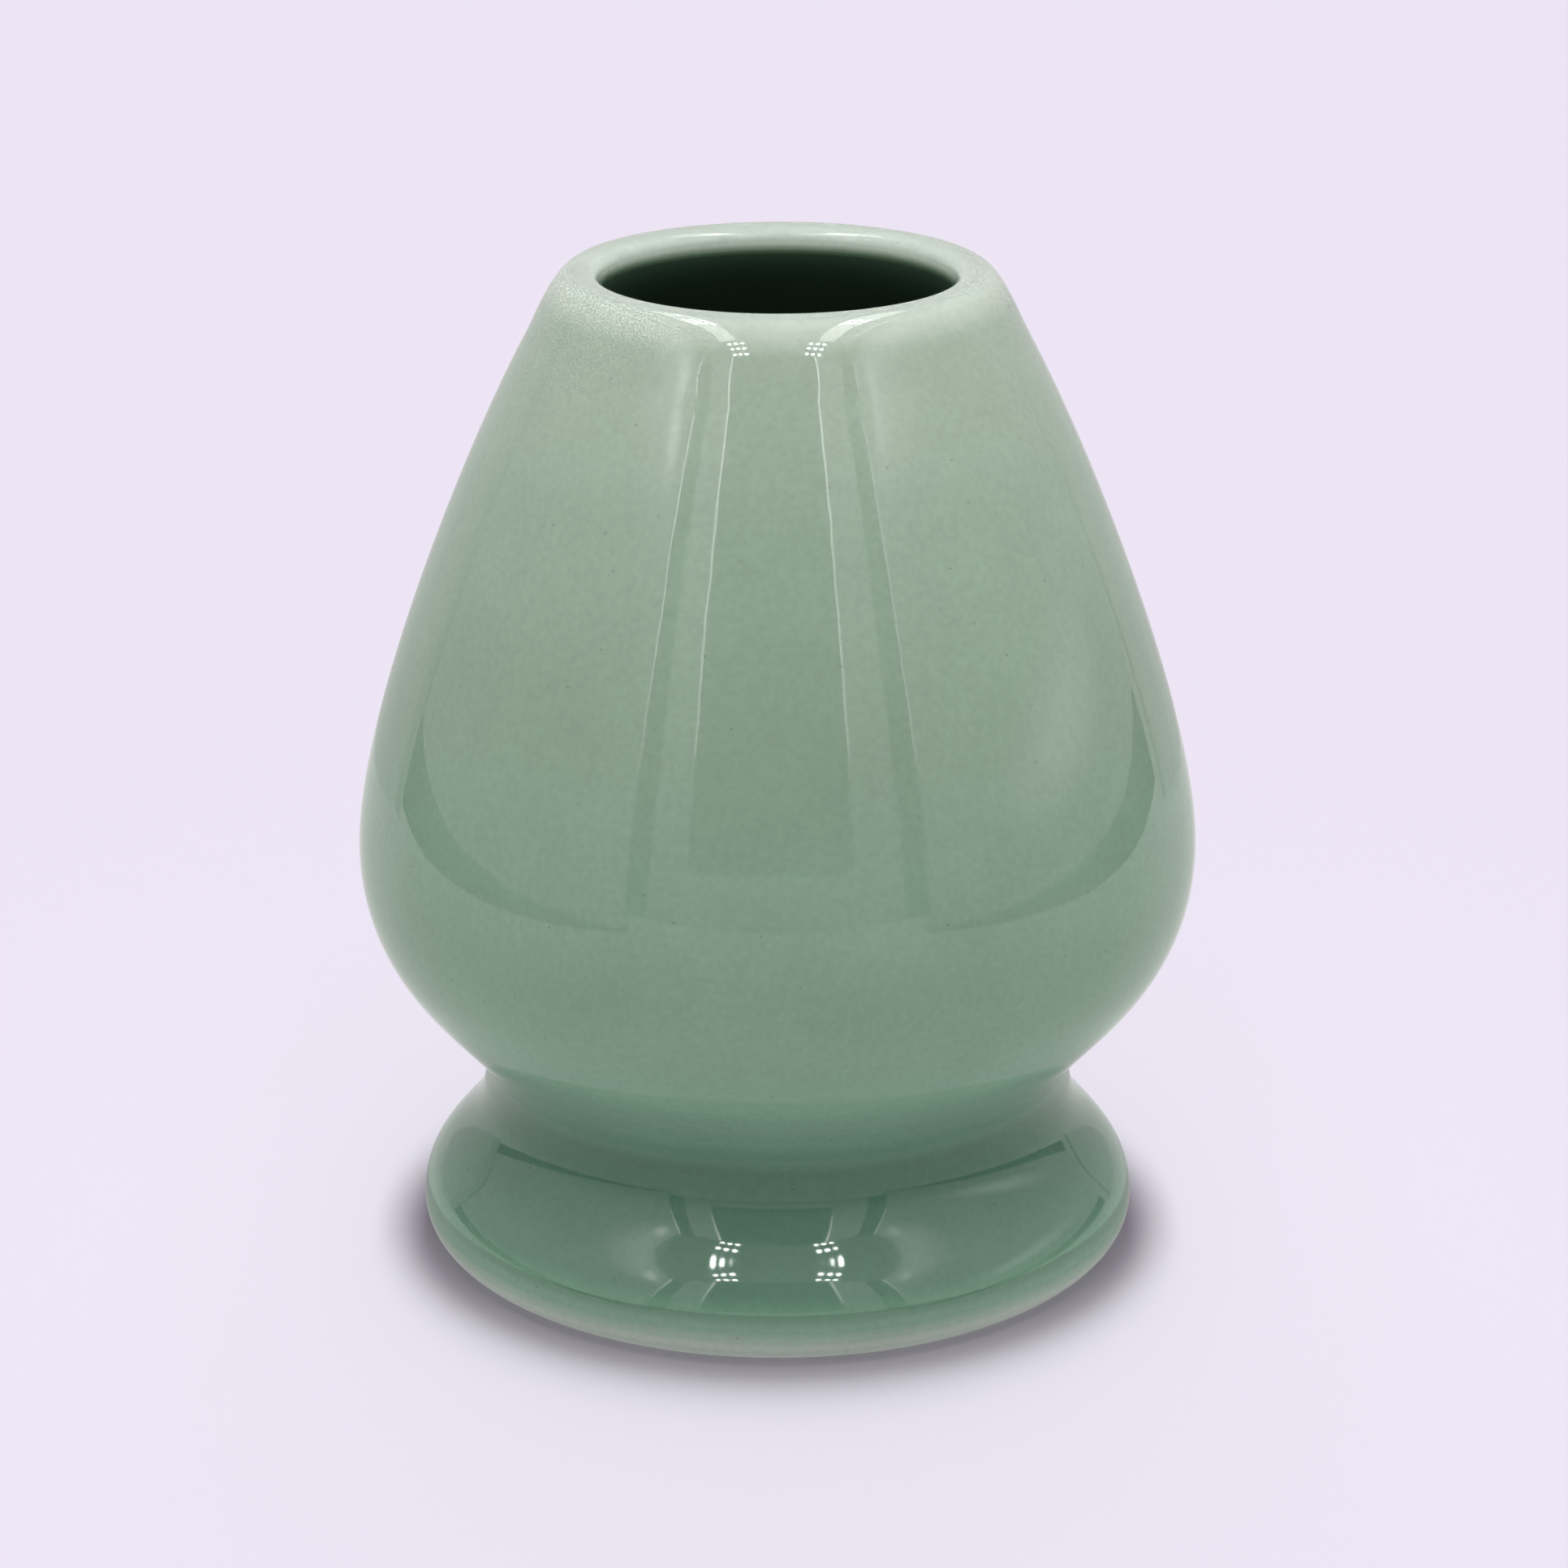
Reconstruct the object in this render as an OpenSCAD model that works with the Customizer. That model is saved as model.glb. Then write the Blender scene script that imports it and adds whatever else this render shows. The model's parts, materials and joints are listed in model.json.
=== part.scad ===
// Whisk stand for a bamboo tea whisk: a pear-shaped ceramic shell with a small round
// mouth at the top and a flared foot, open right through. The whisk is put over the
// shoulder tines down, and its middle tines hang through the mouth to dry.
// Millimetres. Origin at the centre of the standing ring, +Z up.

/* [Body] */
// Height from the table to the crest of the lip
height = 75; // [72:0.5:80]
// Widest diameter of the bulb
belly_d = 63; // [58:0.5:68]
// Height of the widest part of the bulb
belly_z = 31.2; // [29:0.2:34]
// Slope of the shoulder below the lip, from the vertical, in degrees
shoulder_slope = 28.2; // [25:0.2:31]
// Wall thickness of the bulb, glaze included
wall = 3.8; // [3.2:0.1:4.4]

/* [Neck and foot] */
// Diameter of the neck at its narrowest
neck_d = 44.8; // [42:0.2:47]
// Height of the neck at its narrowest
neck_z = 12.9; // [11.5:0.1:14]
// Widest diameter of the foot
foot_d = 54.6; // [52:0.2:58]
// Radius of the foot's outer edge
foot_edge = 2.6; // [2:0.1:3]
// Width of the flat standing ring
ring_width = 2.2; // [1.6:0.1:2.6]

/* [Lip and mouth] */
// Diameter of the mouth at its narrowest
mouth_d = 26; // [24:0.5:27]
// Diameter of the circle along the top of the lip
lip_d = 29.7; // [29:0.1:31]
// Outside diameter where the lip starts
lip_base_d = 37; // [36:0.2:38]
// Height of the straight part of the mouth
mouth_land = 1; // [0.6:0.1:1.6]

/* [Glaze and joint] */
// Thickness of the glaze
glaze = 0.4; // [0.3:0.05:0.6]
// Thickness of the slip between the bulb and the foot
slip = 0.6; // [0.4:0.1:1]

/* [Hidden] */
$fn = 96;

clay_color = [0.86, 0.84, 0.79];
slip_color = [0.78, 0.75, 0.69];
glaze_color = [0.51, 0.62, 0.54];
liner_color = [0.38, 0.50, 0.41];

lip_h = 5.3;             // height of the lip above the straight shoulder
lip_drop = 1.1;          // depth of the rounding inside the lip
ring_round = 0.8;        // radius of the standing ring's inner edge
quarter = 0.552;         // handle of a Bezier quarter circle, over its radius
glaze_start = 0.12;      // where the outer glaze starts along the foot's outer edge
liner_end = 0.8;         // where the inner glaze ends along the inside of the foot
steps = 14;              // segments along a long curve
short_steps = 8;         // segments along a small rounding
joint_low = neck_z - slip / 2;
joint_high = neck_z + slip / 2;

// Handles of the curves, as lengths along the tangent at each end
foot_rise = 4.4;         // up from the foot's edge
foot_meet = 5.1;         // into the neck from below
bulb_rise = 4.5;         // up from the neck
bulb_meet = 11;          // into the belly from below
shoulder_rise = 8.9;     // up from the belly
shoulder_meet = 10.6;    // into the lip from below
lip_rise = 1.8;          // from the shoulder into the lip
crest_meet = 1.4;        // into the crest, from either side
throat_meet = 0.7;       // into the straight part of the mouth from above
throat_leave = 1.4;      // out of the straight part of the mouth, downwards
inner_meet = 2.2;        // into the inside of the shoulder from above
hollow_leave = 5;        // down from the inside of the neck
hollow_meet = 3;         // into the standing ring from above

// Directions, as [radial, up]
up = [0, 1];
out = [1, 0];
slope = [-sin(shoulder_slope), cos(shoulder_slope)];
slope_normal = [cos(shoulder_slope), sin(shoulder_slope)];

// Points of the finished surface, as [radius, height]
ring_outer = [foot_d / 2 - foot_edge, 0];
ring_inner = ring_outer - ring_width * out;
foot_side = [foot_d / 2, foot_edge];
neck = [neck_d / 2, neck_z];
belly = [belly_d / 2, belly_z];
lip_base = [lip_base_d / 2, height - lip_h];
crest = [lip_d / 2, height];
throat = [mouth_d / 2, height - lip_drop];
land_end = throat - mouth_land * up;
inner_shoulder = lip_base - wall * slope_normal;
inner_neck = neck - wall * out;
hollow_edge = ring_inner + ring_round * (up - out);

// Curves of the finished surface, each as its two ends with a handle for each
foot_edge_path = [
    ring_outer, ring_outer + quarter * foot_edge * out,
    foot_side - quarter * foot_edge * up, foot_side];
foot_path = [foot_side, foot_side + foot_rise * up, neck - foot_meet * up, neck];
bulb_path = [neck, neck + bulb_rise * up, belly - bulb_meet * up, belly];
shoulder_path = [
    belly, belly + shoulder_rise * up, lip_base - shoulder_meet * slope, lip_base];
lip_path = [lip_base, lip_base + lip_rise * slope, crest + crest_meet * out, crest];
mouth_path = [crest, crest - crest_meet * out, throat + throat_meet * up, throat];
undercut_path = [
    land_end, land_end - throat_leave * up,
    inner_shoulder + inner_meet * slope, inner_shoulder];
hollow_path = [
    inner_neck, inner_neck - hollow_leave * up,
    hollow_edge + hollow_meet * up, hollow_edge];
ring_round_path = [
    hollow_edge, hollow_edge - quarter * ring_round * up,
    ring_inner - quarter * ring_round * out, ring_inner];

// A point of a curve, and the direction of travel there
function point(c, t) =
    pow(1 - t, 3) * c[0] + 3 * pow(1 - t, 2) * t * c[1]
    + 3 * (1 - t) * t * t * c[2] + pow(t, 3) * c[3];
function travel(c, t) =
    pow(1 - t, 2) * (c[1] - c[0]) + 2 * (1 - t) * t * (c[2] - c[1])
    + t * t * (c[3] - c[2]);

// Unit direction to the left of a direction
function left(d) = [-d.y, d.x] / norm(d);

// Points along part of a curve, moved to the left of travel by depth
function along(c, n, depth, from = 0, to = 1) = [
    for (i = [0:n])
        let (t = from + (to - from) * i / n)
        point(c, t) + depth * left(travel(c, t))
];

function reversed(list) = [for (i = [len(list) - 1:-1:0]) list[i]];

// Joins lists where each starts with the last point of the one before
function chain(lists) = [
    for (i = [0:len(lists) - 1])
        for (j = [min(i, 1):len(lists[i]) - 1])
            lists[i][j]
];

// The outside from the bottom of the glaze up to the crest, at a depth in the wall
function outside(depth) = chain([
    along(foot_edge_path, short_steps, depth, from = glaze_start),
    along(foot_path, steps, depth),
    along(bulb_path, steps, depth),
    along(shoulder_path, steps, depth),
    along(lip_path, short_steps, depth)]);

// The inside from the crest down to the bottom of the glaze, at a depth in the wall
function inside(depth) = chain([
    along(mouth_path, short_steps, depth),
    [throat + depth * out, land_end + depth * out],
    along(undercut_path, short_steps, depth),
    reversed(along(shoulder_path, steps, wall - depth)),
    reversed(along(bulb_path, steps, wall - depth)),
    along(hollow_path, steps, depth, to = liner_end)]);

function above(list, z) = [for (p = list) if (p.y > z) p];
function below(list, z) = [for (p = list) if (p.y < z) p];

// The point at height z of a line of points that only climbs or only falls
function cut(list, z) = [lookup(z, [for (p = list) [p.y, p.x]]), z];

module turned(outline) {
    rotate_extrude() polygon(outline);
}

// Bulb of clay, from the joint at the neck up to the lip
module bulb_wall() {
    color(clay_color)
        turned(concat(
            [cut(outside(glaze), joint_high)],
            above(chain([outside(glaze), inside(glaze)]), joint_high),
            [cut(inside(glaze), joint_high)]));
}

// Flared foot of clay with the bare standing ring, from the table up to the joint
module foot_wall() {
    color(clay_color)
        turned(concat(
            along(foot_edge_path, short_steps, 0, to = glaze_start),
            below(outside(glaze), joint_low),
            [cut(outside(glaze), joint_low)],
            [cut(inside(glaze), joint_low)],
            below(inside(glaze), joint_low),
            chain([
                along(hollow_path, short_steps, 0, from = liner_end),
                along(ring_round_path, short_steps, 0)])));
}

// Layer of slip that joins the foot to the bulb
module luting_slip() {
    color(slip_color)
        turned([
            cut(outside(glaze), joint_low),
            neck - glaze * out,
            cut(outside(glaze), joint_high),
            cut(inside(glaze), joint_high),
            inner_neck + glaze * out,
            cut(inside(glaze), joint_low),
        ]);
}

// Glaze over the outside, from just above the standing ring to the crest of the lip
module outer_glaze() {
    color(glaze_color)
        turned(concat(outside(0), reversed(outside(glaze))));
}

// Glaze over the inside, from the crest of the lip down into the foot
module liner_glaze() {
    color(liner_color)
        turned(concat(inside(0), reversed(inside(glaze))));
}

bulb_wall();
foot_wall();
luting_slip();
outer_glaze();
liner_glaze();
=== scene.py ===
"""Whisk stand of celadon-glazed ceramic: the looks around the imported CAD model.

Metres, +Z up. The glaze coats and the clay foot are turned surfaces, and the coats have the
small unevenness of a hand-finished pot. The set is a plain pale floor inside a light tent.
"""
import json
import math
import bpy
import numpy as np
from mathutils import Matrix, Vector


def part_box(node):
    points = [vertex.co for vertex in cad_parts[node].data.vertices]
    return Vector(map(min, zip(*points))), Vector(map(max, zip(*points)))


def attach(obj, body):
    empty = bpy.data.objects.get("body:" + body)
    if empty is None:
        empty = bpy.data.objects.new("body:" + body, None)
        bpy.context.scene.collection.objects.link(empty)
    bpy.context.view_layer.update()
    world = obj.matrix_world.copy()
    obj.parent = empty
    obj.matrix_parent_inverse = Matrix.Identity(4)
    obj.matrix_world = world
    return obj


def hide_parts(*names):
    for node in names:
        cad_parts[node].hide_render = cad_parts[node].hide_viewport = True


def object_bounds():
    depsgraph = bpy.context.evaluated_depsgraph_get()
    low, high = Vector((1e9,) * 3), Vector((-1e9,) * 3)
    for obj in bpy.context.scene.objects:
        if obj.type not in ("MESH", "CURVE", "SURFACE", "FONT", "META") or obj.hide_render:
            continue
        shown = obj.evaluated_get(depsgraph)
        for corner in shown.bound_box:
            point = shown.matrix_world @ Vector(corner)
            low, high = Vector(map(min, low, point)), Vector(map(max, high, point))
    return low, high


MM = 0.001
BODY = "root"

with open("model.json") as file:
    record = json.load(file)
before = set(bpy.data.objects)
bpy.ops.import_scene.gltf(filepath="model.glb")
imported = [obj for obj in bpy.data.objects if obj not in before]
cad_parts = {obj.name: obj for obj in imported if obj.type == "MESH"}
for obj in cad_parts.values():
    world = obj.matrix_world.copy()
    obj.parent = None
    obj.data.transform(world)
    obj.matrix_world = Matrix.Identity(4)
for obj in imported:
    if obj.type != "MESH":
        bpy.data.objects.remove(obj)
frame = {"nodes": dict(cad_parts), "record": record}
cad_low, cad_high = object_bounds()


# ---------------------------------------------------------------- shape, in millimetres

def size_of(node):
    low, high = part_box(node)
    return (high - low) / MM


def bore_radius(name):
    return next(m for m in frame["record"]["mounts"] if m["name"] == name)["dims"]["r_mm"]


HEIGHT = cad_high.z / MM
BELLY_R = size_of("outer_glaze").x / 2
MOUTH_R = bore_radius("mouth")
FOOT_R = 27.3
NECK_R, NECK_Z = 22.4, 12.9
BELLY_Z = 31.2
LIP_BASE_R, LIP_HEIGHT = 18.5, 5.3
CREST_R = 14.85
THROAT_DEPTH = 1.1
MOUTH_LAND = 1.0
WALL = 3.8
GLAZE = 0.4
FOOT_EDGE = 2.6
RING_WIDTH = 2.2
RING_ROUND = 0.8
SHOULDER_SLOPE = math.radians(28.2)

# Handles of the curves, as lengths along the tangent at each end
FOOT_RISE, FOOT_MEET = 4.4, 5.1
BULB_RISE, BULB_MEET = 4.5, 11.0
SHOULDER_RISE, SHOULDER_MEET = 8.9, 10.6
LIP_RISE = 1.8
CREST_MEET = 1.4
THROAT_MEET, THROAT_LEAVE = 0.7, 1.4
LAND_MEET = 0.3
INNER_MEET = 2.2
HOLLOW_LEAVE, HOLLOW_MEET = 5.0, 3.0
QUARTER = 0.552         # handle of a quarter circle, over its radius

UP = np.array([0.0, 1.0])
OUT = np.array([1.0, 0.0])
SLOPE = np.array([-math.sin(SHOULDER_SLOPE), math.cos(SHOULDER_SLOPE)])
SLOPE_NORMAL = np.array([math.cos(SHOULDER_SLOPE), math.sin(SHOULDER_SLOPE)])

# Points of the finished surface, as radius and height
RING_OUTER = np.array([FOOT_R - FOOT_EDGE, 0.0])
RING_INNER = RING_OUTER - RING_WIDTH * OUT
FOOT_SIDE = np.array([FOOT_R, FOOT_EDGE])
NECK = np.array([NECK_R, NECK_Z])
BELLY = np.array([BELLY_R, BELLY_Z])
LIP_BASE = np.array([LIP_BASE_R, HEIGHT - LIP_HEIGHT])
CREST = np.array([CREST_R, HEIGHT])
THROAT = np.array([MOUTH_R, HEIGHT - THROAT_DEPTH])
LAND_END = THROAT - MOUTH_LAND * UP
INNER_SHOULDER = LIP_BASE - WALL * SLOPE_NORMAL
INNER_NECK = NECK - WALL * OUT
HOLLOW_EDGE = RING_INNER + RING_ROUND * (UP - OUT)

PATHS = {
    "foot_edge": (RING_OUTER, RING_OUTER + QUARTER * FOOT_EDGE * OUT,
                  FOOT_SIDE - QUARTER * FOOT_EDGE * UP, FOOT_SIDE),
    "foot": (FOOT_SIDE, FOOT_SIDE + FOOT_RISE * UP, NECK - FOOT_MEET * UP, NECK),
    "bulb": (NECK, NECK + BULB_RISE * UP, BELLY - BULB_MEET * UP, BELLY),
    "shoulder": (BELLY, BELLY + SHOULDER_RISE * UP,
                 LIP_BASE - SHOULDER_MEET * SLOPE, LIP_BASE),
    "lip": (LIP_BASE, LIP_BASE + LIP_RISE * SLOPE, CREST + CREST_MEET * OUT, CREST),
    "mouth": (CREST, CREST - CREST_MEET * OUT, THROAT + THROAT_MEET * UP, THROAT),
    "land": (THROAT, THROAT - LAND_MEET * UP, LAND_END + LAND_MEET * UP, LAND_END),
    "undercut": (LAND_END, LAND_END - THROAT_LEAVE * UP,
                 INNER_SHOULDER + INNER_MEET * SLOPE, INNER_SHOULDER),
    "hollow": (INNER_NECK, INNER_NECK - HOLLOW_LEAVE * UP,
               HOLLOW_EDGE + HOLLOW_MEET * UP, HOLLOW_EDGE),
    "ring_round": (HOLLOW_EDGE, HOLLOW_EDGE - QUARTER * RING_ROUND * UP,
                   RING_INNER - QUARTER * RING_ROUND * OUT, RING_INNER),
}


def along(name, count, depth=0.0, start=0.0, end=1.0):
    """Points of a path, moved to the left of travel by depth."""
    a, b, c, d = PATHS[name]
    t = np.linspace(start, end, count + 1)[:, None]
    points = ((1 - t) ** 3 * a + 3 * (1 - t) ** 2 * t * b
              + 3 * (1 - t) * t * t * c + t ** 3 * d)
    travel = ((1 - t) ** 2 * (b - a) + 2 * (1 - t) * t * (c - b) + t * t * (d - c))
    left = np.column_stack([-travel[:, 1], travel[:, 0]])
    return points + depth * left / np.linalg.norm(left, axis=1)[:, None]


def chain(*lines):
    """Joins lines that each start with the last point of the one before."""
    return np.vstack([lines[0]] + [line[1:] for line in lines[1:]])


def even(line, step):
    """The same line with points about one step apart."""
    gaps = np.linalg.norm(np.diff(line, axis=0), axis=1)
    run = np.concatenate([[0.0], np.cumsum(gaps)])
    where = np.linspace(0.0, run[-1], int(round(run[-1] / step)) + 1)
    return np.column_stack([np.interp(where, run, line[:, k]) for k in (0, 1)])


GLAZE_START = 0.12      # along the foot's outer edge
LINER_END = 0.8         # along the inside of the foot
FINE = 60               # segments along a short curve, before they are evened out
FEW = 10                # along the straight of the mouth
EDGE_STEPS = 12         # along the bare part of the foot edge
ROUND_STEPS = 8         # along the bare inside of the foot


def outside_line(depth=0.0):
    return chain(
        along("foot_edge", FINE, depth, start=GLAZE_START), along("foot", FINE * 2, depth),
        along("bulb", FINE * 4, depth), along("shoulder", FINE * 6, depth),
        along("lip", FINE * 2, depth))


def inside_line(depth=0.0):
    return chain(
        along("mouth", FINE, depth), along("land", FEW, depth), along("undercut", FINE, depth),
        along("shoulder", FINE * 4, WALL - depth)[::-1],
        along("bulb", FINE * 2, WALL - depth)[::-1],
        along("hollow", FINE * 2, depth, end=LINER_END))


# ---------------------------------------------------------------- turned meshes

COLUMNS = 256
STEP = 0.4              # between points of the coats
FOOT_STEP = 0.5
WAVES = 14
MOST_LOBES = 8
LOBE_FADE = 0.3
PHASES = 6.28           # about a whole turn, in radians
UNEVEN, UNEVEN_PITCH, UNEVEN_SEED = 0.03, 60.0, 7
CLEARANCE = 0.01        # of the coats inside the CAD surface
TINY = 1e-12


def normals_of(line):
    tangent = np.gradient(line, axis=0)
    tangent /= np.linalg.norm(tangent, axis=1)[:, None]
    return np.column_stack([tangent[:, 1], -tangent[:, 0]])


def waves(angle, height, seed, size):
    """Smooth unevenness over a turned surface, about -1 to 1."""
    random = np.random.RandomState(seed)
    total = np.zeros_like(angle)
    weight = 0.0
    for _ in range(WAVES):
        lobes = random.randint(0, MOST_LOBES)
        pitch = random.uniform(-1.0, 1.0) * 2 * math.pi / size
        amount = 1.0 / (1.0 + LOBE_FADE * lobes)
        total += amount * np.cos(lobes * angle + pitch * height + random.uniform(0, PHASES))
        weight += amount ** 2
    return total / math.sqrt(weight * 2)


def turn(line, shift=None):
    """Grid of points of a line turned about Z, moved along its normal by shift."""
    angle = np.linspace(0.0, 2 * math.pi, COLUMNS, endpoint=False)
    a, _ = np.meshgrid(angle, line[:, 0])
    n = normals_of(line)
    move = np.zeros_like(a) if shift is None else shift(a, line[:, 1][:, None] + 0 * a)
    r = line[:, 0][:, None] + n[:, 0][:, None] * move
    z = line[:, 1][:, None] + n[:, 1][:, None] * move
    return np.stack([r * np.cos(a), r * np.sin(a), z], axis=-1)


def grid_normals(grid):
    """Normals of a turned grid, from its neighbours."""
    down = np.gradient(grid, axis=0)
    around = (np.roll(grid, -1, axis=1) - np.roll(grid, 1, axis=1)) / 2
    n = np.cross(around, down)
    return n / np.maximum(np.linalg.norm(n, axis=-1), TINY)[..., None]


def solid_from(name, grid, normals):
    """Closed mesh from a grid whose rows run round a closed outline."""
    rows, columns = grid.shape[:2]
    verts = (grid.reshape(-1, 3) * MM).tolist()
    faces = []
    for i in range(rows):
        j = (i + 1) % rows
        for k in range(columns):
            l = (k + 1) % columns
            faces.append((i * columns + k, i * columns + l, j * columns + l, j * columns + k))
    mesh = bpy.data.meshes.new(name)
    mesh.from_pydata(verts, [], faces)
    mesh.update()
    mesh.polygons.foreach_set("use_smooth", [True] * len(mesh.polygons))
    mesh.normals_split_custom_set_from_vertices(normals.reshape(-1, 3).tolist())
    piece = bpy.data.objects.new(name, mesh)
    bpy.context.scene.collection.objects.link(piece)
    return piece


def coat_shift(a, z):
    """Move of the glaze's surface along its normal in millimetres, never outwards."""
    stray = UNEVEN * waves(a, z, UNEVEN_SEED, UNEVEN_PITCH)
    return np.minimum(stray, 0.0) - CLEARANCE


def make_coats():
    """The outer glaze and the liner, cut from one continuous skin at the crest."""
    outer = even(outside_line(), STEP)
    inner = even(inside_line(), STEP)
    skin_line = np.vstack([outer, inner[1:]])
    skin = turn(skin_line, coat_shift)
    skin_n = grid_normals(skin)
    cut = len(outer)
    pieces = []
    for name, rows, back in (
        ("outer_coat", slice(0, cut), even(outside_line(GLAZE), STEP)),
        ("liner_coat", slice(cut - 1, None), even(inside_line(GLAZE), STEP)),
    ):
        back_grid = turn(back)[::-1]
        back_n = grid_normals(back_grid)
        grid = np.concatenate([skin[rows], back_grid])
        normals = np.concatenate([skin_n[rows], back_n])
        pieces.append(solid_from(name, grid, normals))
    return pieces


def make_foot():
    """The clay foot with its bare standing ring."""
    low_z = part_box("foot_wall")[1].z / MM
    back = outside_line(GLAZE)
    back = back[back[:, 1] < low_z]
    hollow = inside_line(GLAZE)
    hollow = hollow[hollow[:, 1] < low_z]
    line = np.vstack([
        along("foot_edge", EDGE_STEPS, end=GLAZE_START), even(back, FOOT_STEP),
        [[back[-1, 0], low_z], [hollow[0, 0], low_z]], even(hollow, FOOT_STEP),
        along("hollow", ROUND_STEPS, start=LINER_END),
        along("ring_round", ROUND_STEPS)[1:]])
    grid = turn(line)
    return solid_from("clay_foot", grid, grid_normals(grid))


# ---------------------------------------------------------------- materials

def new_material(name):
    material = bpy.data.materials.new(name)
    material.use_nodes = True
    return material, material.node_tree, material.node_tree.nodes["Principled BSDF"]


def add_bump(tree, height, strength, distance, shader):
    node = tree.nodes.new("ShaderNodeBump")
    set_input(node, "Strength", strength)
    set_input(node, "Distance", distance)
    tree.links.new(height, node.inputs["Height"])
    tree.links.new(node.outputs["Normal"], shader.inputs["Normal"])


def set_input(node, name, value):
    node.inputs[name].default_value = value


def ramp(tree, factor, stops):
    node = tree.nodes.new("ShaderNodeValToRGB")
    node.color_ramp.interpolation = "EASE"
    elements = node.color_ramp.elements
    while len(elements) > 1:
        elements.remove(elements[-1])
    elements[0].position, elements[0].color = stops[0][0], (*stops[0][1], 1)
    for position, color in stops[1:]:
        element = elements.new(position)
        element.color = (*color, 1)
    tree.links.new(factor, node.inputs["Fac"])
    return node.outputs["Color"]


def noise(tree, coords, scale, detail):
    node = tree.nodes.new("ShaderNodeTexNoise")
    set_input(node, "Scale", scale)
    set_input(node, "Detail", detail)
    tree.links.new(coords, node.inputs["Vector"])
    return node.outputs["Fac"]


def math_node(tree, operation, *values):
    node = tree.nodes.new("ShaderNodeMath")
    node.operation = operation
    for socket, value in zip(node.inputs, values):
        if isinstance(value, (int, float)):
            socket.default_value = value
        else:
            tree.links.new(value, socket)
    return node.outputs["Value"]


def map_range(tree, value, low, high, to_low=0.0, to_high=1.0):
    node = tree.nodes.new("ShaderNodeMapRange")
    set_input(node, "From Min", low)
    set_input(node, "From Max", high)
    set_input(node, "To Min", to_low)
    set_input(node, "To Max", to_high)
    tree.links.new(value, node.inputs["Value"])
    return node.outputs["Result"]


def mix_color(tree, blend, factor, a, b):
    node = tree.nodes.new("ShaderNodeMix")
    node.data_type = "RGBA"
    node.blend_type = blend
    for index, value in ((0, factor), (6, a), (7, b)):
        if isinstance(value, (int, float)):
            node.inputs[index].default_value = value
        elif isinstance(value, tuple):
            node.inputs[index].default_value = (*value, 1)
        else:
            tree.links.new(value, node.inputs[index])
    return node.outputs[2]


def object_coords(tree):
    return tree.nodes.new("ShaderNodeTexCoord").outputs["Object"]


def height_share(tree, coords):
    """Height above the table, from 0 at the bottom to 1 at the crest."""
    split = tree.nodes.new("ShaderNodeSeparateXYZ")
    tree.links.new(coords, split.inputs["Vector"])
    return map_range(tree, split.outputs["Z"], 0.0, HEIGHT * MM)


# Pattern of the glaze: noise scales per metre, and how far each one changes the surface
NOISE_LOW, NOISE_HIGH = 0.3, 0.7        # where nearly all of a noise lies
DRIFT_SCALE, DRIFT = 45.0, 0.004
CLOUD_SCALE, CLOUD = 130.0, 0.03
GRAIN_SCALE, GRAIN = 1900.0, 0.045
SWELL_SCALE, SWELL = 330.0, 1.6
RIPPLE_SCALE, RIPPLE = 700.0, 0.25
GLAZE_BUMP = 0.000006                   # metres
GLAZE_IOR = 1.5
SPECK_CELLS, SPECK_CORE, SPECK_RIM = 480.0, 0.025, 0.06
SPECK_SHARE, SPECK_TONE = 0.85, 0.66
CLAY_CLOUD_SCALE, CLAY_GRAIN_SCALE = 220.0, 2600.0
CLAY_TONES = (0.88, 1.06)
CLAY_ROUGHNESS = 0.85
CLAY_STRENGTH, CLAY_BUMP = 0.6, 0.00004


def glaze_material(name, stops, gloss):
    """Celadon: colour and roughness by height share, with mottling, pinholes and ripple. The
    colour by height share holds painted light and shade as well as the glaze's own tones.
    """
    material, tree, shader = new_material(name)
    coords = object_coords(tree)
    drift = noise(tree, coords, DRIFT_SCALE, 2.0)
    share = height_share(tree, coords)
    # Height share shifted a little by slow noise, for reading the colour ramp with its painted
    # light and shade
    tone_and_shade_height = math_node(tree, "ADD", share, map_range(tree, drift, 0.0, 1.0, -DRIFT, DRIFT))
    color = ramp(tree, tone_and_shade_height, stops)
    cloud = noise(tree, coords, CLOUD_SCALE, 3.0)
    grain = noise(tree, coords, GRAIN_SCALE, 3.0)
    tone = math_node(tree, "ADD", map_range(tree, cloud, NOISE_LOW, NOISE_HIGH, -CLOUD, CLOUD),
                     map_range(tree, grain, NOISE_LOW, NOISE_HIGH, 1 - GRAIN, 1 + GRAIN))
    tone = math_node(tree, "MULTIPLY", tone, pinholes(tree, coords))
    color = mix_color(tree, "MULTIPLY", 1.0, color, tone)
    tree.links.new(color, shader.inputs["Base Color"])
    tree.links.new(ramp(tree, share, [(place, 3 * (value,)) for place, value in gloss]),
                   shader.inputs["Roughness"])
    set_input(shader, "IOR", GLAZE_IOR)
    swell = noise(tree, coords, SWELL_SCALE, 1.0)
    ripple = noise(tree, coords, RIPPLE_SCALE, 0.0)
    height = math_node(tree, "ADD", map_range(tree, swell, 0.0, 1.0, 0.0, SWELL),
                       map_range(tree, ripple, 0.0, 1.0, 0.0, RIPPLE))
    add_bump(tree, height, 1.0, GLAZE_BUMP, shader)
    return material


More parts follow.
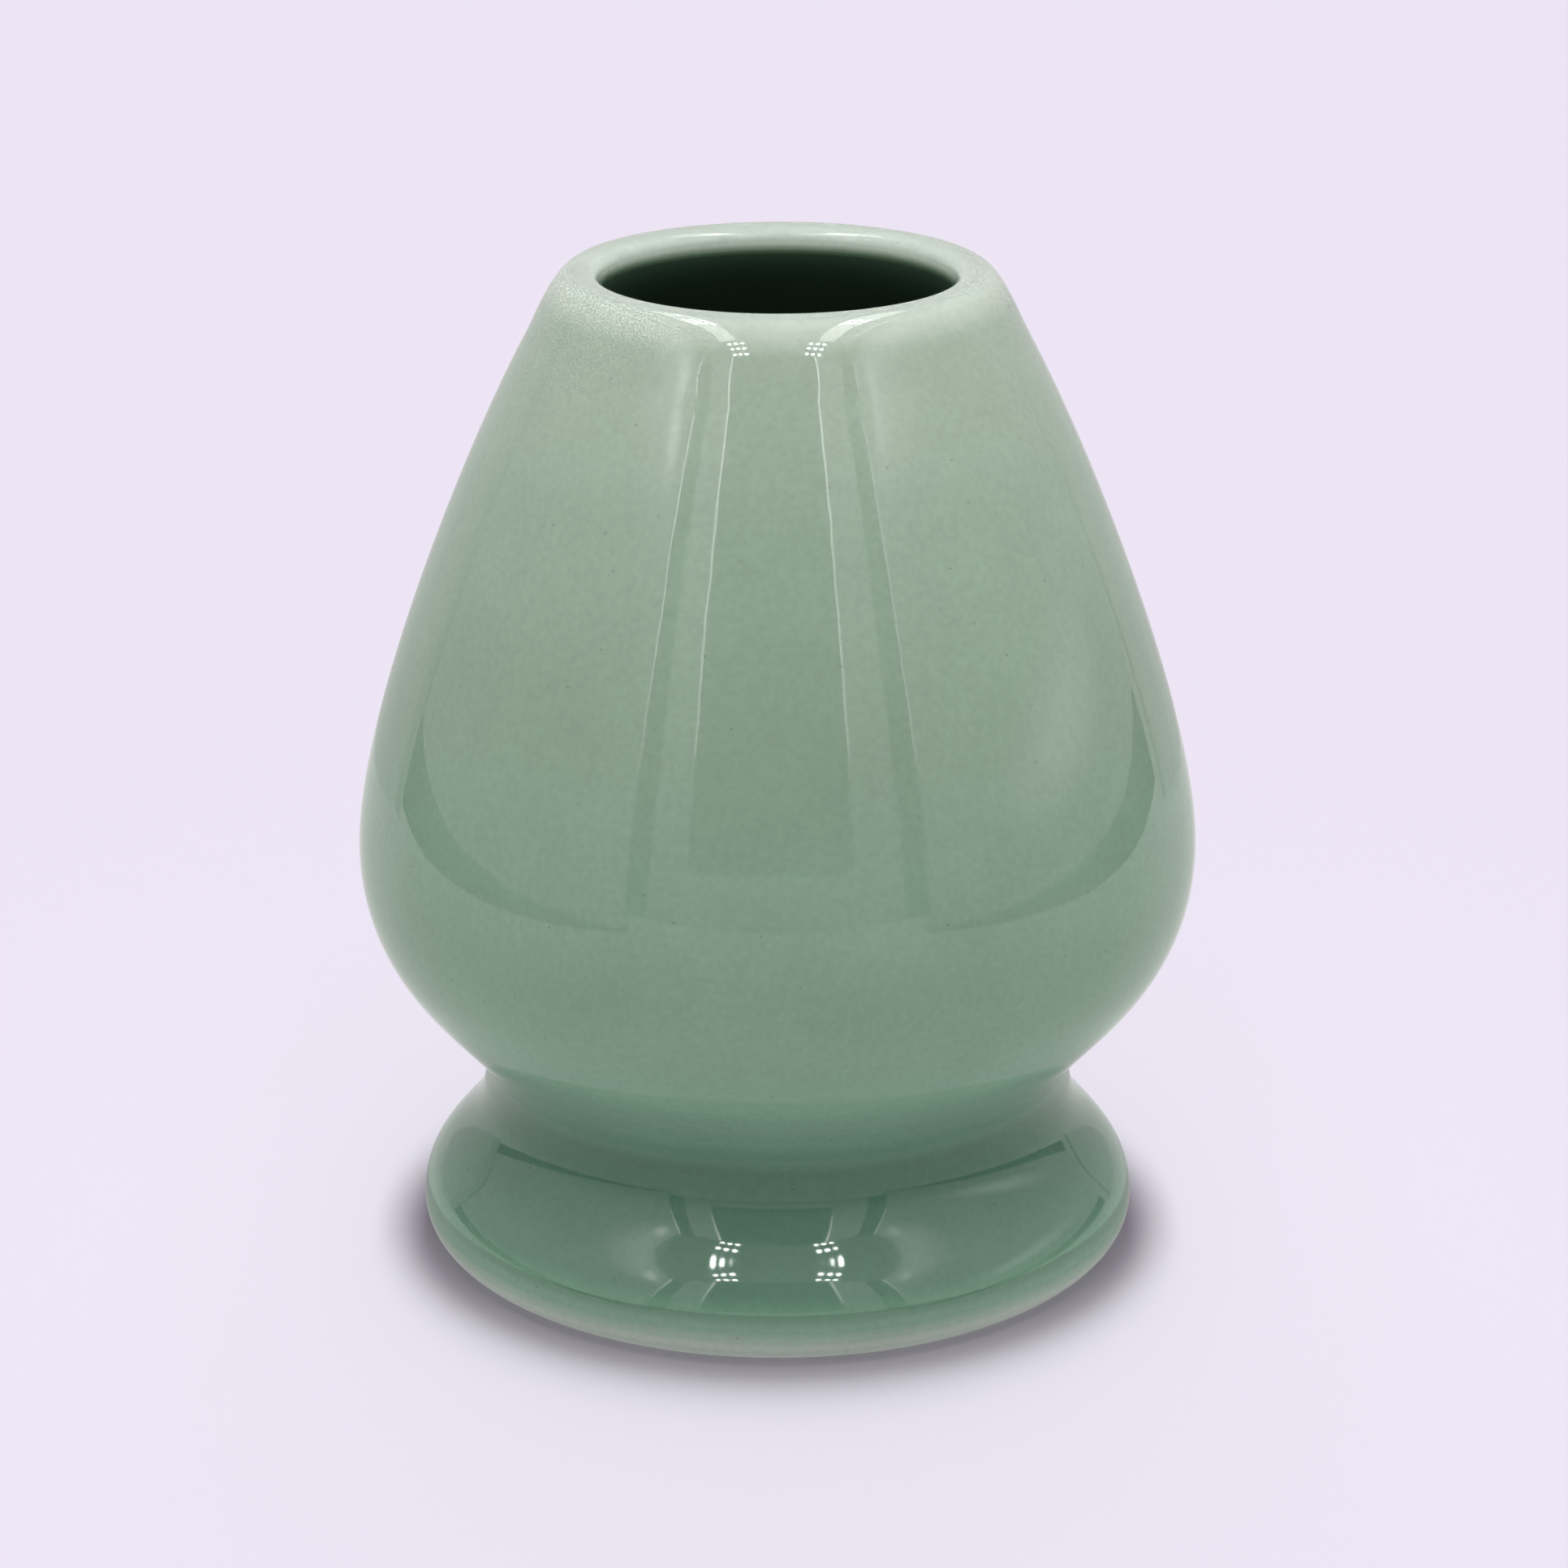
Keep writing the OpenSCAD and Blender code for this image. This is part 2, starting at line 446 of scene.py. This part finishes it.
def pinholes(tree, coords):
    """Tiny dark iron specks, one in most cells of a pattern: 1 away from them."""
    cells = tree.nodes.new("ShaderNodeTexVoronoi")
    set_input(cells, "Scale", SPECK_CELLS)
    tree.links.new(coords, cells.inputs["Vector"])
    near = map_range(tree, cells.outputs["Distance"], SPECK_CORE, SPECK_RIM)
    split = tree.nodes.new("ShaderNodeSeparateXYZ")
    tree.links.new(cells.outputs["Color"], split.inputs["Vector"])
    chosen = math_node(tree, "LESS_THAN", split.outputs["X"], SPECK_SHARE)
    dark = math_node(tree, "MULTIPLY", math_node(tree, "SUBTRACT", 1.0, near), chosen)
    return map_range(tree, dark, 0.0, 1.0, 1.0, SPECK_TONE)


def clay_material(name, color):
    material, tree, shader = new_material(name)
    coords = object_coords(tree)
    cloud = noise(tree, coords, CLAY_CLOUD_SCALE, 4.0)
    tone = map_range(tree, cloud, NOISE_LOW, NOISE_HIGH, *CLAY_TONES)
    tree.links.new(mix_color(tree, "MULTIPLY", 1.0, color, tone), shader.inputs["Base Color"])
    set_input(shader, "Roughness", CLAY_ROUGHNESS)
    grain = noise(tree, coords, CLAY_GRAIN_SCALE, 3.0)
    add_bump(tree, grain, CLAY_STRENGTH, CLAY_BUMP, shader)
    return material


# Base colour and roughness of the glaze by height share. The base colours are partly the glaze's
# own tones and partly painted light and shade
OUTER_TONES_WITH_PAINTED_LIGHT_AND_SHADE = [
    # Pale over the foot rim, where the glaze runs thin over the edge, and lightened further as
    # painted light from the table under it
    (0.00, (0.60, 0.66, 0.60)), (0.021, (0.56, 0.64, 0.575)), (0.030, (0.39, 0.52, 0.415)),
    # Dark over the flange and the neck: partly pooled glaze, partly painted shade under the
    # bulb's overhang and in the crease of the neck
    (0.040, (0.25, 0.405, 0.30)), (0.054, (0.159, 0.294, 0.204)), (0.075, (0.123, 0.219, 0.159)),
    (0.130, (0.113, 0.21, 0.148)), (0.155, (0.079, 0.173, 0.109)), (0.175, (0.08, 0.175, 0.11)),
    (0.193, (0.14, 0.265, 0.185)), (0.220, (0.195, 0.335, 0.245)), (0.247, (0.22, 0.36, 0.268)),
    (0.280, (0.252, 0.41, 0.30)), (0.335, (0.226, 0.355, 0.253)), (0.42, (0.215, 0.322, 0.233)),
    (0.50, (0.213, 0.314, 0.237)), (0.62, (0.221, 0.306, 0.229)), (0.80, (0.246, 0.331, 0.254)),
    (0.90, (0.27, 0.345, 0.27)), (0.965, (0.287, 0.359, 0.284)), (0.987, (0.39, 0.446, 0.377)),
    (0.994, (0.414, 0.468, 0.406)), (1.00, (0.31, 0.353, 0.31)),
]
OUTER_GLOSS = [(0.0, 0.3), (0.03, 0.05), (0.145, 0.04), (0.165, 0.2), (0.19, 0.2), (0.215, 0.03)]
LINER_TONES_WITH_PAINTED_LIGHT_AND_SHADE = [
    # Darkening up the inside to near-black from about 0.45 to the throat: painted shade of the
    # hollow pot, lighter only near the open foot
    (0.00, (0.16, 0.26, 0.18)), (0.15, (0.10, 0.19, 0.12)), (0.45, (0.03, 0.06, 0.035)),
    # At the throat a sharp step from the near-black to the pale rounding of the mouth: the edge
    # of the painted shade. The rounding is pale where the glaze runs thin, and lightened further
    # as painted light
    (0.974, (0.011, 0.034, 0.017)), (0.978, (0.10, 0.18, 0.105)), (0.983, (0.54, 0.62, 0.53)),
    (0.993, (0.47, 0.54, 0.47)), (1.00, (0.31, 0.353, 0.31)),
]
LINER_GLOSS = [(0.0, 0.6), (0.974, 0.6), (0.981, 0.03)]

CLAY_COLOR = (0.70, 0.66, 0.58)
SLIP_COLOR = (0.58, 0.53, 0.45)

glaze = glaze_material("celadon", OUTER_TONES_WITH_PAINTED_LIGHT_AND_SHADE, OUTER_GLOSS)
liner = glaze_material("celadon_inside", LINER_TONES_WITH_PAINTED_LIGHT_AND_SHADE, LINER_GLOSS)
clay = clay_material("bare_clay", CLAY_COLOR)
slip = clay_material("slip", SLIP_COLOR)

outer_coat, liner_coat = make_coats()
clay_foot = make_foot()

for piece, node, slot, material in (
    (outer_coat, "outer_glaze", "celadon_glaze", glaze),
    (liner_coat, "liner_glaze", "liner_glaze", liner),
    (clay_foot, "foot_wall", "bare_clay", clay),
):
    piece.data.materials.append(material)
    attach(piece, BODY)
    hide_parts(node)

for node, material in (("bulb_wall", clay), ("luting_slip", slip)):
    for holder in frame["nodes"][node].material_slots:
        holder.material = material


# ---------------------------------------------------------------- set

FLOOR_COLOR = (0.847, 0.784, 0.905, 1)
FLOOR_HALF = 3.0        # metres


def make_floor():
    """Plain pale floor that runs out of view all round."""
    mesh = bpy.data.meshes.new("floor")
    half = FLOOR_HALF
    mesh.from_pydata(
        [(-half, -half, 0), (half, -half, 0), (half, half, 0), (-half, half, 0)],
        [], [(0, 1, 2, 3)])
    floor = bpy.data.objects.new("floor", mesh)
    bpy.context.scene.collection.objects.link(floor)
    material, _, shader = new_material("paper")
    set_input(shader, "Base Color", FLOOR_COLOR)
    set_input(shader, "Roughness", 1.0)
    set_input(shader, "Specular IOR Level", 0.0)
    mesh.materials.append(material)
    return floor


def lit_only(light, *receivers):
    """The light falls on these objects alone."""
    group = bpy.data.collections.new(light.name + "_lights")
    for receiver in receivers:
        group.objects.link(receiver)
    light.light_linking.receiver_collection = group


def panel(name, centre, facing, width, height, low, high=None, receivers=(), cut=None):
    """Glowing panel seen only in reflections and by its light. Its radiance runs from low
    at the bottom to high at the top. With cut, two shares of its height, it stays dark below
    the line from one to the other."""
    high = low if high is None else high
    data = bpy.data.lights.new(name, "AREA")
    data.shape = "RECTANGLE"
    data.size, data.size_y = width * MM, height * MM
    data.energy = math.pi * width * height * MM * MM
    data.use_nodes = True
    tree = data.node_tree
    emission = tree.nodes["Emission"]
    place = tree.nodes.new("ShaderNodeNewGeometry")
    split = tree.nodes.new("ShaderNodeSeparateXYZ")
    tree.links.new(place.outputs["Parametric"], split.inputs["Vector"])
    across, along_height = split.outputs["X"], split.outputs["Y"]
    strength = map_range(tree, along_height, 0.0, 1.0, low, high)
    if cut:
        line = map_range(tree, across, 0.0, 1.0, *cut)
        lit = math_node(tree, "GREATER_THAN", along_height, line)
        strength = math_node(tree, "MULTIPLY", strength, lit)
    tree.links.new(strength, emission.inputs["Strength"])
    light = bpy.data.objects.new(name, data)
    light.location = Vector(centre) * MM
    light.rotation_euler = Vector(facing).to_track_quat("-Z", "Y").to_euler()
    light.visible_camera = False
    bpy.context.scene.collection.objects.link(light)
    lit_only(light, *receivers)
    return light


def distance_from(tree, output, point):
    """Distance from a point, in the units of one of the Geometry node's outputs."""
    place = tree.nodes.new("ShaderNodeNewGeometry")
    gap = tree.nodes.new("ShaderNodeVectorMath")
    gap.operation = "DISTANCE"
    gap.inputs[1].default_value = point
    tree.links.new(place.outputs[output], gap.inputs[0])
    return gap.outputs["Value"]


def smooth_range(tree, value, low, high, to_low, to_high):
    result = map_range(tree, value, low, high, to_low, to_high)
    result.node.interpolation_type = "SMOOTHSTEP"
    return result


def set_radiance(light, value):
    tree = light.data.node_tree
    tree.links.new(value, tree.nodes["Emission"].inputs["Strength"])


def glow(name, centre, facing, width, height, peak):
    """Soft-edged bright patch, brightest in the middle."""
    light = panel(name, centre, facing, width, height, peak, peak, pot)
    tree = light.data.node_tree
    middle = distance_from(tree, "Parametric", (0.5, 0.5, 0.0))
    set_radiance(light, smooth_range(tree, middle, 0.0, 0.5, peak, 0.0))


def diodes(name, x_low, x_high, y_low, y_high, z, share, radiance):
    """Block of round lamps facing down; share is a lamp's radius over the distance between
    two columns of them."""
    light = flat(name, x_low, x_high, y_low, y_high, z, -1, radiance)
    tree = light.data.node_tree
    place = tree.nodes.new("ShaderNodeNewGeometry")
    split = tree.nodes.new("ShaderNodeSeparateXYZ")
    tree.links.new(place.outputs["Parametric"], split.inputs["Vector"])
    stretch = (y_high - y_low) / (x_high - x_low)
    offsets = []
    for axis, scale in (("X", 1.0), ("Y", stretch)):
        along_axis = math_node(tree, "MULTIPLY", split.outputs[axis], DIODES_ACROSS)
        cell = math_node(tree, "FRACT", along_axis)
        offset = math_node(tree, "MULTIPLY", math_node(tree, "SUBTRACT", cell, 0.5), scale)
        offsets.append(math_node(tree, "MULTIPLY", offset, offset))
    square = math_node(tree, "ADD", *offsets)
    lit = math_node(tree, "LESS_THAN", square, share * share)
    set_radiance(light, math_node(tree, "MULTIPLY", lit, radiance))


floor = make_floor()
floor.visible_glossy = False
floor.visible_diffuse = False
pot = [outer_coat, liner_coat, clay_foot, *frame["nodes"].values()]

# The light tent, in millimetres, with radiances as multiples of white
TENT_LEFT, TENT_RIGHT = -200.0, 200.0
TENT_FRONT, TENT_BACK = -256.0, 130.0
TENT_TOP = 292.0
CORNER_GAP = 8.0                # dark, between the side walls and the front
LEFT_SEAM = (106.0, 108.0)      # dark, near the back of the left wall
BACK_SEAM = (175.0, 178.0)
FLAPS = (-167.0, 161.0)         # outer edges of the two front flaps
OPENING = (-109.0, 90.0)        # between the flaps, where the camera looks in
FLAP_LOW, SILL_HIGH = 30.0, 66.0
SIDE_SKIRT, FRONT_SKIRT = 8.0, 28.5
GAP_NEAR, GAP_FAR = 12.0, 33.0  # tops of the dark gap above a side skirt, at its two ends
HEMS = (("hem_left", -112.0), ("hem_right", 90.0))
HEM_WIDTH, HEM_START = 4.0, 120.0
CEILING_EDGE = 2.0              # dark, along the side walls
CEILING_SEAMS = (               # name, x, y from and to, and radiance
    ("seam_left", -184.0, -110.0, 20.0, 1.8), ("seam_right", 153.0, -140.0, -10.0, 2.4))
SEAM_WIDTH = 8.0
LAYER = 1.0                     # between panels that lie in front of one another
HOLE = 17.0                     # half the width of the hole in the floor's glow
CARD_Z = 0.05

FLOOR_GLOW = 0.75
WALL_LOW, WALL_HIGH = 0.5, 1.05
FRONT_LOW, FRONT_HIGH = 0.45, 1.2
SILL_TOP = 0.6
BACK_LOW, BACK_HIGH = 0.6, 0.8
END_LOW = 0.45
HEM_LOW, HEM_HIGH = 1.6, 6.5
RIGHT_EDGE_SHARE = 0.6
CEILING_GLOW = 0.4
CEILING_FILL = 0.76
# Name, x, which way it faces, and the peaks of the top glow and the lamp glow
GLOW_SIDES = (("left", TENT_LEFT, 1, 1.3, 2.4), ("right", TENT_RIGHT, -1, 1.0, 1.4))
RIGHT_GLOW = (-25.0, 66.0, 230.0, 52.0, 1.1)    # y, z, width, height and peak
TOP_GLOW = (-140.0, 250.0, 300.0, 190.0)        # y, z, width and height
LAMP_GLOW = (-190.0, 238.0, 70.0, 70.0)
SHADOW_IN, SHADOW_OUT = 26.0, 42.0      # radii between which the floor's glow fades
SHADOW_SHARE = 0.5                      # left of it near the foot

# Rows of lamps: x of the near block and of the rest, then places from the tent's front
LAMP_ROWS = (("left", -87.0, -100.0), ("right", 84.0, 99.0))
DIODES_ACROSS = 3               # and as many along
DIODE_HALF, TUBE_HALF = 22.0, 18.0
NEAR_BLOCK, TUBE = (0.0, 72.0), (76.0, 190.0)
FAR_BLOCK, LAST_TUBE = (194.0, 258.0), (258.0, 366.0)
NEAR_SHARE, FAR_SHARE = 0.32, 0.38
NEAR_RADIANCE, TUBE_RADIANCE, FAR_RADIANCE, LAST_RADIANCE = 34.0, 5.0, 50.0, 4.0


def upright(name, start, end, bottom, top, low, high=None, cut=None):
    """Glowing wall from one floor point to another, facing to the left of that line."""
    start, end = Vector((*start, 0.0)), Vector((*end, 0.0))
    run = end - start
    centre = (start + end) / 2 + Vector((0, 0, (bottom + top) / 2))
    return panel(name, centre, (-run.y, run.x, 0), run.length, top - bottom, low, high, pot, cut)


def flat(name, x_low, x_high, y_low, y_high, z, side, radiance):
    """Level glowing panel that faces up or down, as side is 1 or -1."""
    centre = ((x_low + x_high) / 2, (y_low + y_high) / 2, z)
    return panel(name, centre, (0, 0, side), x_high - x_low, y_high - y_low, radiance,
                 radiance, pot)


def make_walls():
    """Side and back walls, with dark seams, and dark gaps above the side skirts."""
    left, right, front, back = TENT_LEFT, TENT_RIGHT, TENT_FRONT, TENT_BACK
    near = front + CORNER_GAP
    cut_near, cut_far = [
        (z - SIDE_SKIRT) / (TENT_TOP - SIDE_SKIRT) for z in (GAP_NEAR, GAP_FAR)]
    upright("left_wall", (left, LEFT_SEAM[0]), (left, near), SIDE_SKIRT, TENT_TOP,
            WALL_LOW, WALL_HIGH, (cut_far, cut_near))
    upright("left_wall_end", (left, back), (left, LEFT_SEAM[1]), 0, TENT_TOP,
            END_LOW, BACK_HIGH)
    upright("right_wall", (right, near), (right, back), SIDE_SKIRT, TENT_TOP,
            WALL_LOW, WALL_HIGH, (cut_near, cut_far))
    upright("back_wall", (BACK_SEAM[0], back), (left, back), 0, TENT_TOP, BACK_LOW, BACK_HIGH)
    upright("back_wall_end", (right, back), (BACK_SEAM[1], back), 0, TENT_TOP,
            BACK_LOW, BACK_HIGH)


def make_front():
    """Two flaps with the opening between them, a sill under it, and the skirts."""
    left, right, front, back = TENT_LEFT, TENT_RIGHT, TENT_FRONT, TENT_BACK
    upright("front_left", (FLAPS[0], front), (OPENING[0], front), FLAP_LOW, TENT_TOP,
            FRONT_LOW, FRONT_HIGH)
    upright("front_right", (OPENING[1], front), (FLAPS[1], front), FLAP_LOW, TENT_TOP,
            FRONT_LOW, FRONT_HIGH)
    upright("sill", (OPENING[0], front), (OPENING[1], front), FLAP_LOW, SILL_HIGH,
            FRONT_LOW, SILL_TOP)
    upright("skirt_left", (left, back), (left, front), 0, SIDE_SKIRT, FLOOR_GLOW)
    upright("skirt_right", (right, front), (right, back), 0, SIDE_SKIRT, FLOOR_GLOW)
    upright("skirt_front", (left, front), (right, front), 0, FRONT_SKIRT, FLOOR_GLOW)


def make_hems():
    """Bright narrow hems beside the opening and at the near edges of the side walls."""
    near = TENT_FRONT + CORNER_GAP
    plane = TENT_FRONT + LAYER
    left, right = TENT_LEFT + LAYER, TENT_RIGHT - LAYER
    for name, x in HEMS:
        upright(name, (x, plane), (x + HEM_WIDTH, plane), HEM_START,
                TENT_TOP, HEM_LOW, HEM_HIGH)
    upright("edge_left", (left, near + HEM_WIDTH), (left, near), HEM_START, TENT_TOP,
            HEM_LOW, HEM_HIGH)
    upright("edge_right", (right, near), (right, near + HEM_WIDTH), HEM_START, TENT_TOP,
            HEM_LOW, RIGHT_EDGE_SHARE * HEM_HIGH)


def make_glows():
    """Soft bright patches on the side walls."""
    y, z, width, height, peak = RIGHT_GLOW
    glow("right_glow", (TENT_RIGHT - 2 * LAYER, y, z), (-1, 0, 0), width, height, peak)
    for name, x, side, top_peak, lamp_peak in GLOW_SIDES:
        for kind, layers, place, peak in (
            ("_top_glow", 2, TOP_GLOW, top_peak), ("_lamp_glow", 3, LAMP_GLOW, lamp_peak),
        ):
            y, z, width, height = place
            centre = (x + layers * LAYER * side, y, z)
            glow(name + kind, centre, (side, 0, 0), width, height, peak)


def make_ceiling():
    """Pale ceiling with two bright seams, and a fill that shows in no reflection."""
    left, right, front, back = TENT_LEFT, TENT_RIGHT, TENT_FRONT, TENT_BACK
    flat("ceiling", left + CEILING_EDGE, right - CEILING_EDGE, front, back, TENT_TOP, -1,
         CEILING_GLOW)
    for name, x, y_low, y_high, radiance in CEILING_SEAMS:
        flat(name, x, x + SEAM_WIDTH, y_low, y_high, TENT_TOP - LAYER, -1, radiance)
    fill = flat("ceiling_fill", left, right, front, back, TENT_TOP - 3 * LAYER, -1,
                CEILING_FILL)
    fill.visible_glossy = False


def make_floor_cards():
    """The floor's glow as the pot sees it: darker near the foot, with a hole under it."""
    left, right, front, back = TENT_LEFT, TENT_RIGHT, TENT_FRONT, TENT_BACK
    for name, x_low, x_high, y_low, y_high in (
        ("left", left, -HOLE, front, back), ("right", HOLE, right, front, back),
        ("front", -HOLE, HOLE, front, -HOLE), ("back", -HOLE, HOLE, HOLE, back),
    ):
        card = flat("floor_" + name, x_low, x_high, y_low, y_high, CARD_Z, 1, FLOOR_GLOW)
        tree = card.data.node_tree
        radius = distance_from(tree, "Position", (0.0, 0.0, 0.0))
        set_radiance(card, smooth_range(tree, radius, SHADOW_IN * MM, SHADOW_OUT * MM,
                                        SHADOW_SHARE * FLOOR_GLOW, FLOOR_GLOW))


def make_lamps():
    """Two rows of lamps under the ceiling: diodes, a tube, more diodes and a last tube."""
    near = TENT_FRONT
    z = TENT_TOP - 2 * LAYER
    for side, block_x, tube_x in LAMP_ROWS:
        diodes("near_" + side, block_x - DIODE_HALF, block_x + DIODE_HALF,
               near + NEAR_BLOCK[0], near + NEAR_BLOCK[1], z, NEAR_SHARE, NEAR_RADIANCE)
        flat("tube_" + side, tube_x - TUBE_HALF, tube_x + TUBE_HALF,
             near + TUBE[0], near + TUBE[1], z, -1, TUBE_RADIANCE)
        diodes("far_" + side, tube_x - DIODE_HALF, tube_x + DIODE_HALF,
               near + FAR_BLOCK[0], near + FAR_BLOCK[1], z, FAR_SHARE, FAR_RADIANCE)
        flat("rear_" + side, tube_x - DIODE_HALF, tube_x + DIODE_HALF,
             near + LAST_TUBE[0], near + LAST_TUBE[1], z, -1, LAST_RADIANCE)


make_walls()
make_front()
make_hems()
make_glows()
make_ceiling()
make_floor_cards()
make_lamps()

AMBIENT = 0.04


def make_world():
    """Faint even light from all round, seen in no reflection."""
    world = bpy.data.worlds.new("room")
    world.use_nodes = True
    bpy.context.scene.world = world
    set_input(world.node_tree.nodes["Background"], "Color", (1, 1, 1, 1))
    set_input(world.node_tree.nodes["Background"], "Strength", AMBIENT)
    world.cycles_visibility.glossy = False


SKY_HEIGHT, SKY_WIDTH, SKY_LENGTH = 3600.0, 3700.0, 12500.0
SKY_LEVEL = 2.239
SHADES = ((29.3, 4.2), (27.2, 1.2))
SHADE_Y = -0.5
SHADE_POINTS = 64
SKY_COLOR = (0.885, 0.953, 0.885)
FILL_COLOR = (0.115, 0.047, 0.115)


def make_shade():
    """Two discs, given by radius and height, seen by nothing but the sky's shadow rays: they
    make the soft contact shadow."""
    count = SHADE_POINTS
    angles = [2 * math.pi * i / count for i in range(count)]
    verts = [(radius * math.cos(a) * MM, (radius * math.sin(a) + SHADE_Y) * MM, height * MM)
             for radius, height in SHADES for a in angles]
    faces = [tuple(range(k * count, (k + 1) * count)) for k in range(len(SHADES))]
    mesh = bpy.data.meshes.new("contact_shade")
    mesh.from_pydata(verts, [], faces)
    shade = bpy.data.objects.new("contact_shade", mesh)
    bpy.context.scene.collection.objects.link(shade)
    for ray in ("camera", "diffuse", "glossy", "transmission", "volume_scatter"):
        setattr(shade, "visible_" + ray, False)
    return shade


def make_sky(name, color, *casters):
    """High panel that lights the floor alone, with shadows from the casters alone."""
    sky = panel(name, (0, 0, SKY_HEIGHT), (0, 0, -1), SKY_WIDTH, SKY_LENGTH, 1.0, 1.0,
                [floor])
    blockers = bpy.data.collections.new(name + "_blockers")
    for caster in casters:
        blockers.objects.link(caster)
    sky.light_linking.blocker_collection = blockers
    sky.data.color = color
    sky.data.energy *= SKY_LEVEL


make_world()
make_sky("sky", SKY_COLOR, make_shade())
make_sky("sky_fill", FILL_COLOR)

CAMERA_PLACE = (0.0, -0.3208, 0.1498)
CAMERA_DROP = 0.343     # radians below level
LENS, SENSOR = 103.87, 36.0
SHIFT_X = 0.0041
CLIP_START = 0.01


def make_camera():
    data = bpy.data.cameras.new("camera")
    data.sensor_width = SENSOR
    data.lens = LENS
    data.shift_x = SHIFT_X
    data.clip_start = CLIP_START
    camera = bpy.data.objects.new("camera", data)
    camera.location = CAMERA_PLACE
    camera.rotation_euler = (math.pi / 2 - CAMERA_DROP, 0.0, 0.0)
    bpy.context.scene.collection.objects.link(camera)
    bpy.context.scene.camera = camera


make_camera()
bpy.context.scene.view_settings.view_transform = "Standard"
